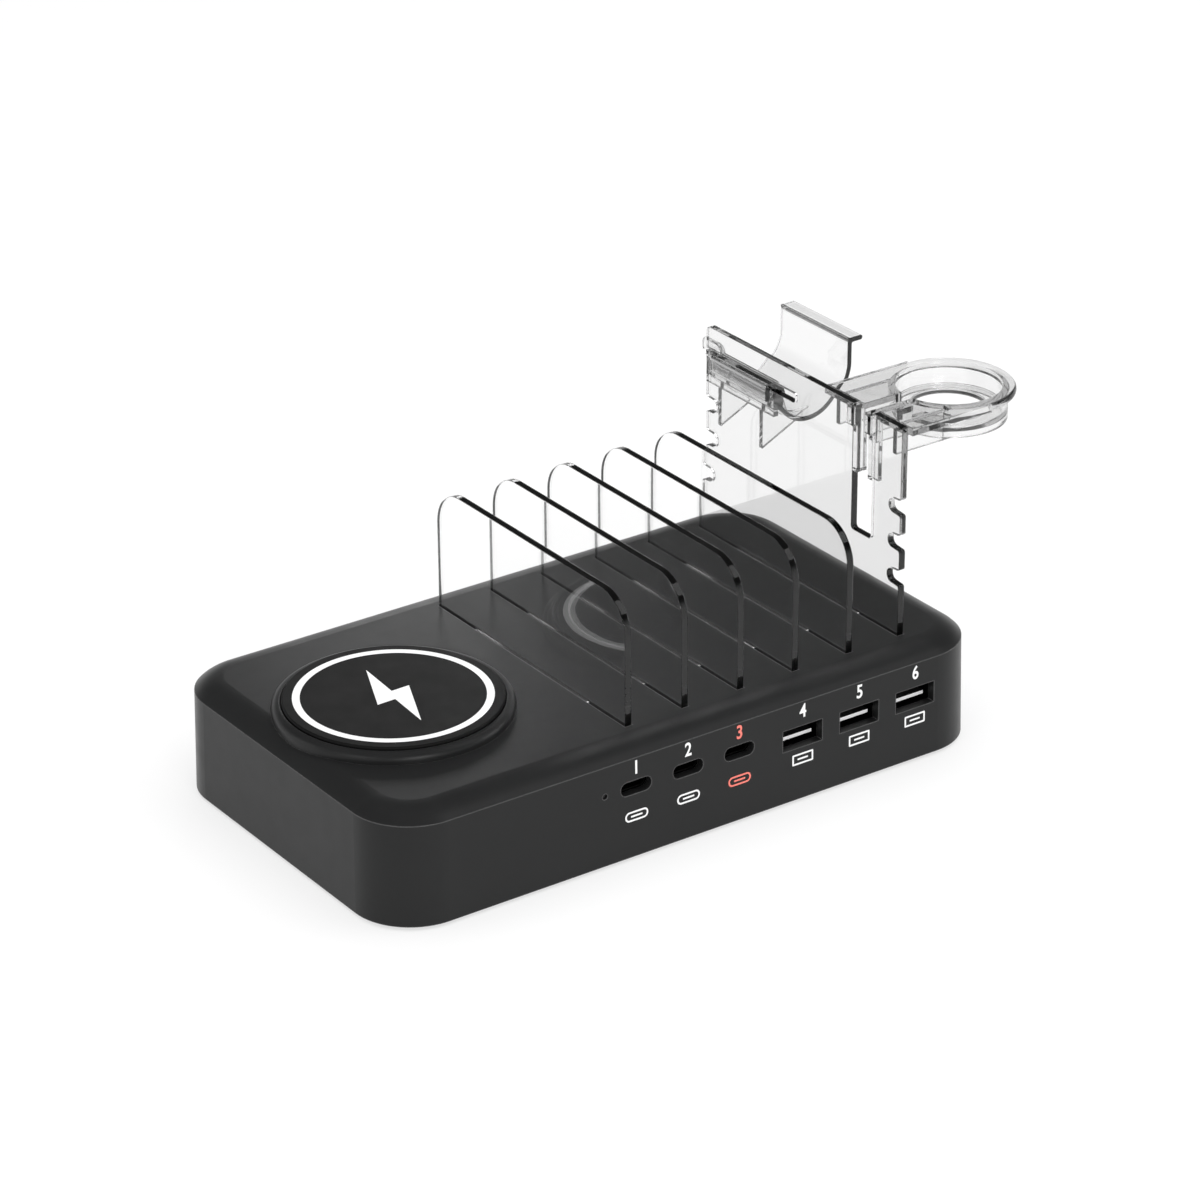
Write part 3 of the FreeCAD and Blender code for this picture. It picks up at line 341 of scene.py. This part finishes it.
def laminate():
    """Green circuit board."""
    paint = Paint("board_laminate", (0.015, 0.11, 0.04), roughness=0.4)
    paint.tones(paint.noise(size=1.2 * MM, detail=3.0), (0.012, 0.09, 0.032), (0.02, 0.13, 0.05))
    paint.rough(paint.noise(size=2 * MM), low=0.32, high=0.48)
    paint.bump(paint.noise(size=0.4 * MM), height=0.01 * MM)
    return paint.material


LOOKS = {
    # The housing's sharp edges, the top crease among them, get a painted highlight of lighter grey
    "housing": moulded("charcoal_housing", grey(CHARCOAL_LEVEL, CHARCOAL_TINT), roughness=0.34,
                       edge=0.45 * MM, painted_edge_highlight=grey(0.09), **{"Specular IOR Level": 0.2}),
    "housing_under": moulded("charcoal_under", grey(0.024), roughness=0.6, grain=0.6 * MM, height=0.03 * MM),
    "pad": moulded("pad_soft_touch", grey(0.0055), roughness=0.48, grain=0.25 * MM, height=0.006 * MM,
                   edge=0.2 * MM, **{"Specular IOR Level": 0.08}),
    "rubber": moulded("foot_rubber", grey(0.02), roughness=0.8, grain=0.5 * MM, height=0.04 * MM),
    "screw": metal("screw_zinc", (0.5, 0.5, 0.51), roughness=0.35),
    "clear": acrylic("clear_acrylic", density=60.0),
    "port_shell": metal("port_dark_steel", grey(0.02), roughness=0.4, stretch=(1, 8, 1)),
    "port_white": tipped_insulator(),
    "port_black": moulded("port_black_insulator", grey(0.012), roughness=0.45),
    "light": frosted_light(),
    "inlet": moulded("inlet_black_insulator", grey(0.018), roughness=0.5),
    "contact": metal("contact_nickel", (0.62, 0.6, 0.55), roughness=0.25, stretch=(1, 6, 1)),
    "board": laminate(),
    "copper": metal("winding_copper", (0.62, 0.26, 0.1), roughness=0.35, stretch=(1, 1, 12)),
    "ferrite": moulded("ferrite_grey", grey(0.05), roughness=0.7),
    "can": metal("capacitor_sleeve", (0.05, 0.06, 0.09), roughness=0.35),
    "sink": metal("heat_sink_aluminium", (0.6, 0.61, 0.62), roughness=0.4, stretch=(6, 1, 1)),
}
CLEAREST = acrylic("clearest_acrylic", density=8.0)
WHITE_INK = print_ink("white_ink", grey(0.82))
RED_INK = print_ink("salmon_ink", (0.83, 0.19, 0.15))


def dress_nodes():
    """Gives each solid the look of its material slot; the thin dividers are the clearest."""
    slots = {part["node"]: part["material_slot"] for part in frame["record"]["subparts"]}
    for name, item in nodes.items():
        item.data.materials.clear()
        item.data.materials.append(CLEAREST if name.startswith("divider") else LOOKS[slots[name]])


def add_piece(name, mesh, look):
    """A piece of the housing, on the base."""
    piece = bpy.data.objects.new(name, mesh)
    bpy.context.scene.collection.objects.link(piece)
    mesh.materials.append(look)
    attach(piece, "base")


def circle(radius, steps):
    turns = [2 * math.pi * step / steps for step in range(steps)]
    return [(radius * math.cos(turn), radius * math.sin(turn)) for turn in turns]


def rounded(width, height, corner, steps):
    """A rectangle about its middle with rounded corners."""
    points = []
    for quarter, (i, j) in enumerate(((1, 1), (-1, 1), (-1, -1), (1, -1))):
        x = i * (width / 2 - corner)
        y = j * (height / 2 - corner)
        for step in range(steps + 1):
            turn = (quarter + step / steps) * math.pi / 2
            points.append((x + corner * math.cos(turn), y + corner * math.sin(turn)))
    return points


def quarter_round(x, y, radius, start):
    """A quarter of a circle about a point, clockwise from a start angle."""
    turns = [start - math.pi / 2 * step / COLLAR_ROUND_STEPS for step in range(COLLAR_ROUND_STEPS + 1)]
    return [(x + radius * math.cos(turn), y + radius * math.sin(turn)) for turn in turns]


def turned_ring(name, profile, middle, steps):
    """A closed profile of radius and height, turned about the upright line through a point."""
    count = len(profile)
    points = []
    faces = []
    for step, (x, y) in enumerate(circle(1, steps)):
        points += [(middle.x + x * radius, middle.y + y * radius, z) for radius, z in profile]
        here = step * count
        there = (step + 1) % steps * count
        for i in range(count):
            after = (i + 1) % count
            faces.append((here + i, here + after, there + after, there + i))
    mesh = bpy.data.meshes.new(name)
    mesh.from_pydata(points, [], faces)
    return mesh


def add_pad_collar():
    """The rounded shoulder that the pad sits in."""
    low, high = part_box("charging_pad")
    inner = (high.x - low.x) / 2 + COLLAR_GAP
    top = high.z - COLLAR_DROP
    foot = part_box("top_shell")[1].z - COLLAR_FOOT
    inner_round = quarter_round(inner + COLLAR_INNER_ROUND, top - COLLAR_INNER_ROUND,
                                COLLAR_INNER_ROUND, math.pi)
    outer_round = quarter_round(COLLAR_OUTER - COLLAR_OUTER_ROUND, top - COLLAR_OUTER_ROUND,
                                COLLAR_OUTER_ROUND, math.pi / 2)
    profile = [(inner, foot), *inner_round, *outer_round, (COLLAR_OUTER, foot)]
    mesh = turned_ring("pad_collar", profile, (low + high) / 2, COLLAR_STEPS)
    mesh.polygons.foreach_set("use_smooth", [True] * len(mesh.polygons))
    mesh.set_sharp_from_angle(angle=COLLAR_SHARP_TURN)
    add_piece("pad_collar", mesh, LOOKS["housing"])


def add_film(name, curve, ink, place):
    """Turns a curve or text, thin as ink, into a mesh at its place."""
    curve.extrude = PRINT_THICKNESS / 2
    helper = bpy.data.objects.new(f"{name}_curve", curve)
    bpy.context.scene.collection.objects.link(helper)
    bpy.context.view_layer.update()
    mesh = bpy.data.meshes.new_from_object(helper.evaluated_get(bpy.context.evaluated_depsgraph_get()))
    mesh.name = name
    bpy.data.objects.remove(helper)
    mesh.transform(place)
    mesh.materials.clear()
    add_piece(name, mesh, ink)


def add_print(name, loops, ink, place):
    """A filled outline, with inner loops as holes, printed at a place on a surface."""
    curve = bpy.data.curves.new(f"{name}_outline", "CURVE")
    curve.dimensions = "2D"
    curve.fill_mode = "BOTH"
    for loop in loops:
        line = curve.splines.new("POLY")
        line.points.add(len(loop) - 1)
        for point, (x, y) in zip(line.points, loop):
            point.co = (x, y, 0, 1)
        line.use_cyclic_u = True
    add_film(name, curve, ink, place)


def add_pad_print():
    """The white ring and the bolt sign of the wireless pad."""
    low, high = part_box("charging_pad")
    middle = (low + high) / 2
    place = Matrix.Translation((middle.x, middle.y, high.z + PRINT_PROUD))
    ring = [circle(RING_OUTER, RING_STEPS), circle(RING_INNER, RING_STEPS)]
    add_print("pad_ring_print", ring, WHITE_INK, place)
    half = [(x * BOLT_LENGTH, y * BOLT_LENGTH) for x, y in BOLT_SHARES]
    bolt = half + [(-x, -y) for x, y in half]
    add_print("pad_bolt_print", [bolt], WHITE_INK, place @ Matrix.Rotation(BOLT_TURN, 4, "Z"))


def front_place(x, z):
    """A frame on the front wall, which leans a little: across, up the wall, out."""
    front = cad_box[0][1] + WALL_LEAN
    faces = [face for face in nodes["top_shell"].data.polygons if face.center.y < front]
    wall = max((face for face in faces if face.normal.y < WALL_FACING), key=lambda face: face.area)
    across = Vector((1, 0, 0))
    out = wall.normal.copy()
    up = out.cross(across)
    middle = wall.center
    spot = middle + across * (x - middle.x) + up * ((z - middle.z) / up.z) + out * PRINT_PROUD
    return Matrix.Translation(spot) @ Matrix((across, up, out)).transposed().to_4x4()


def add_number(number, x, z, ink):
    name = f"port_number_{number}"
    curve = bpy.data.curves.new(f"{name}_text", "FONT")
    curve.body = str(number)
    curve.align_x = "CENTER"
    curve.size = NUMBER_HEIGHT / NUMBER_FONT_SHARE
    curve.offset = NUMBER_HEIGHT * NUMBER_BOLD_SHARE
    narrow = Matrix.Diagonal((NUMBER_WIDTH_SHARE, 1, 1, 1))
    add_film(name, curve, ink, front_place(x, z) @ narrow)


def add_sign(number, size, x, z, ink):
    """A plain picture of the port: its outline and the tongue inside."""
    width, height, corner = size
    inner_corner = max(corner - SIGN_LINE, SIGN_LEAST_ROUND)
    loops = [rounded(width, height, corner, SIGN_STEPS),
             rounded(width - 2 * SIGN_LINE, height - 2 * SIGN_LINE, inner_corner, SIGN_STEPS),
             rounded(width * SIGN_BAR_SHARE, SIGN_LINE, SIGN_LINE * SIGN_BAR_ROUND_SHARE, SIGN_STEPS)]
    add_print(f"port_sign_{number}", loops, ink, front_place(x, z))


def add_port_prints():
    """A plain number over each port and a picture of the port under it."""
    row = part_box("usb_a_shell_1")[0].z - SIGN_DROP
    number = 0
    for kind, size in (("usb_c", USB_C_SIGN), ("usb_a", USB_A_SIGN)):
        for i in range(PORTS_OF_A_KIND):
            number += 1
            low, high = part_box(f"{kind}_shell_{i + 1}")
            x = (low.x + high.x) / 2
            ink = RED_INK if number == RED_PORT else WHITE_INK
            add_number(number, x, high.z + NUMBER_GAP, ink)
            add_sign(number, size, x, row, ink)


def add_world(scene):
    """A studio that is white at eye level and dim overhead; the camera sees it white all over."""
    world = bpy.data.worlds.new("studio")
    scene.world = world
    world.use_nodes = True
    sky = Nodes(world.node_tree)
    way = sky.node("ShaderNodeTexCoord").outputs["Generated"]
    rise = sky.node("ShaderNodeSeparateXYZ", {"Vector": way}).outputs["Z"]
    level = sky.ranged(rise, SKY_START, SKY_END, HORIZON_LEVEL, SKY_LEVEL, interpolation_type="SMOOTHSTEP")
    strength = sky.arithmetic("MAXIMUM", level, sky.seen_by("Is Camera Ray"))
    sky.set(sky.tree.nodes["Background"], {"Color": WHITE, "Strength": strength})


def add_floor(scene):
    """A white floor that keeps the shadow; where it is seen or mirrored, a plain glow lifts it."""
    paint = Paint("floor_white", grey(FLOOR_TONE), roughness=0.9)
    paint.tones(paint.noise(FLOOR_BLOTCH), grey(FLOOR_TONE - FLOOR_TONE_SWING), grey(FLOOR_TONE))
    glow = paint.node("ShaderNodeEmission", {"Color": WHITE, "Strength": 1.0})
    seen = paint.seen_by("Is Camera Ray", "Is Glossy Ray", "Is Transmission Ray")
    paint.blend_shader(paint.arithmetic("MULTIPLY", seen, FLOOR_GLOW_SHARE), glow.outputs["Emission"])

    half = FLOOR_SIZE / 2
    corners = [(-half, -half, 0), (half, -half, 0), (half, half, 0), (-half, half, 0)]
    mesh = bpy.data.meshes.new("floor")
    mesh.from_pydata(corners, [], [(0, 1, 2, 3)])
    mesh.materials.append(paint.material)
    floor = bpy.data.objects.new("floor", mesh)
    scene.collection.objects.link(floor)


def add_lamps(scene):
    for name, place, aim, width, height, watts, mirrored in LAMPS:
        lamp = bpy.data.lights.new(name, "AREA")
        lamp.shape = "RECTANGLE"
        lamp.size = width
        lamp.size_y = height
        lamp.energy = watts
        item = bpy.data.objects.new(name, lamp)
        item.location = place
        item.rotation_euler = (Vector(aim) - Vector(place)).to_track_quat("-Z", "Y").to_euler()
        item.visible_glossy = mirrored
        scene.collection.objects.link(item)


def add_camera(scene):
    camera = bpy.data.cameras.new("camera")
    camera.lens = CAMERA_LENS
    camera.sensor_width = CAMERA_SENSOR
    item = bpy.data.objects.new("camera", camera)
    look = (CAMERA_AIM - CAMERA_PLACE).to_track_quat("-Z", "Y").to_matrix().to_4x4()
    item.matrix_world = Matrix.Translation(CAMERA_PLACE) @ look @ Matrix.Rotation(CAMERA_ROLL, 4, "Z")
    scene.collection.objects.link(item)
    scene.camera = item


def add_studio():
    scene = bpy.context.scene
    scene.view_settings.view_transform = "Standard"
    add_world(scene)
    add_floor(scene)
    add_lamps(scene)
    add_camera(scene)


dress_nodes()
add_pad_collar()
add_pad_print()
add_port_prints()
add_studio()
